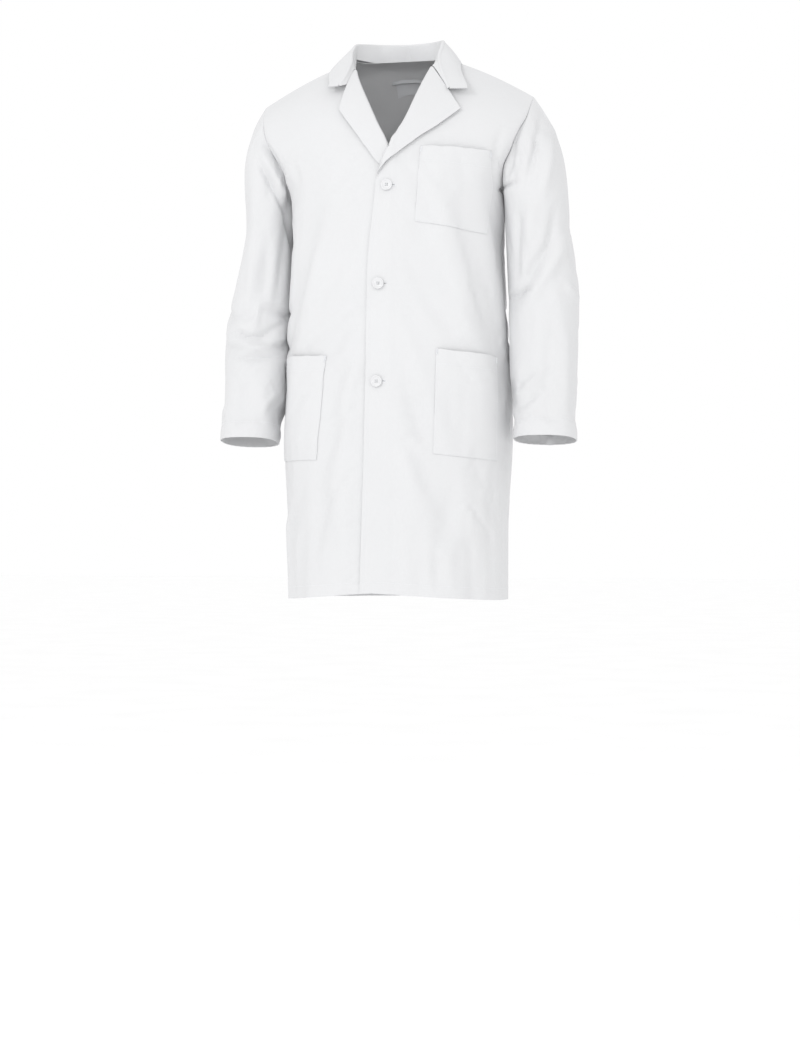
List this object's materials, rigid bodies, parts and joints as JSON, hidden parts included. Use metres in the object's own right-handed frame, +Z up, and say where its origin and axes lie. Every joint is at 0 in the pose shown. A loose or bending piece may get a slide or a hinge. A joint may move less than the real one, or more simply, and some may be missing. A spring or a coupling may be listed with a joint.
{
  "type": "lab coat",
  "caption": "White knee-length lab coat with notched lapels, front buttons, a chest pocket, lower patch pockets, long sleeves and a back vent, in its worn shape.",
  "frame": {"origin": "the middle of the neckline at the height of the inner ends of the shoulder seams, which is where the wearer's neck comes through", "axes": "+X to the wearer's left, -Y to the front, +Z up"},
  "size_m": [0.6344, 0.3224, 0.9803],
  "materials": {
    "cotton": "smooth matt twill",
    "fusible": "matt non-woven",
    "plastic": "glossy",
    "thread": "matt thread",
    "tape": "matt woven tape"
  },
  "bodies": {
    "coat_body": {"back_left": "cotton", "back_right": "cotton", "vent_underlap": "cotton", "back_neck_facing": "cotton", "neck_label": "tape", "hanger_loop": "tape", "upper_collar": "cotton", "collar_interlining": "fusible", "under_collar": "cotton"},
    "front_left_body": {"front_left": "cotton", "front_interlining_left": "fusible", "front_facing_left": "cotton", "chest_pocket": "cotton", "chest_pocket_mouth_band": "cotton", "chest_pocket_bartack_inner": "thread", "chest_pocket_bartack_outer": "thread", "lower_pocket_left": "cotton", "lower_pocket_left_mouth_band": "cotton", "lower_pocket_left_bartack_inner": "thread", "lower_pocket_left_bartack_outer": "thread", "buttonhole_top": "thread", "buttonhole_middle": "thread", "buttonhole_bottom": "thread"},
    "front_right_body": {"front_right": "cotton", "front_interlining_right": "fusible", "front_facing_right": "cotton", "lower_pocket_right": "cotton", "lower_pocket_right_mouth_band": "cotton", "lower_pocket_right_bartack_inner": "thread", "lower_pocket_right_bartack_outer": "thread", "button_top": "plastic", "button_middle": "plastic", "button_bottom": "plastic", "thread_shank_top": "thread", "thread_shank_middle": "thread", "thread_shank_bottom": "thread"},
    "sleeve_left_body": {"sleeve_left": "cotton", "cuff_facing_left": "cotton"},
    "sleeve_right_body": {"sleeve_right": "cotton", "cuff_facing_right": "cotton"}
  },
  "joints": [
    {"name": "front_left_open", "type": "hinge", "parent": "coat_body", "child": "front_left_body", "pos_m": [0.15, -0.09, -0.5], "axis": [0, 0, 1], "range_deg": [0, 40], "deforming": ["front_left", "front_interlining_left", "front_facing_left", "buttonhole_top", "buttonhole_middle", "buttonhole_bottom"]},
    {"name": "front_right_open", "type": "hinge", "parent": "coat_body", "child": "front_right_body", "pos_m": [-0.15, -0.09, -0.5], "axis": [0, 0, -1], "range_deg": [0, 40], "deforming": ["front_right", "front_interlining_right", "front_facing_right"]},
    {"name": "shoulder_left", "type": "hinge", "parent": "coat_body", "child": "sleeve_left_body", "pos_m": [0.212, 0, -0.115], "axis": [0, -1, 0], "range_deg": [0, 60], "deforming": ["sleeve_left"]},
    {"name": "shoulder_right", "type": "hinge", "parent": "coat_body", "child": "sleeve_right_body", "pos_m": [-0.212, 0, -0.115], "axis": [0, 1, 0], "range_deg": [0, 60], "deforming": ["sleeve_right"]}
  ],
  "couplings": [
    {"joint": "front_right_open", "follows": "front_left_open", "ratio": 0.9}
  ]
}
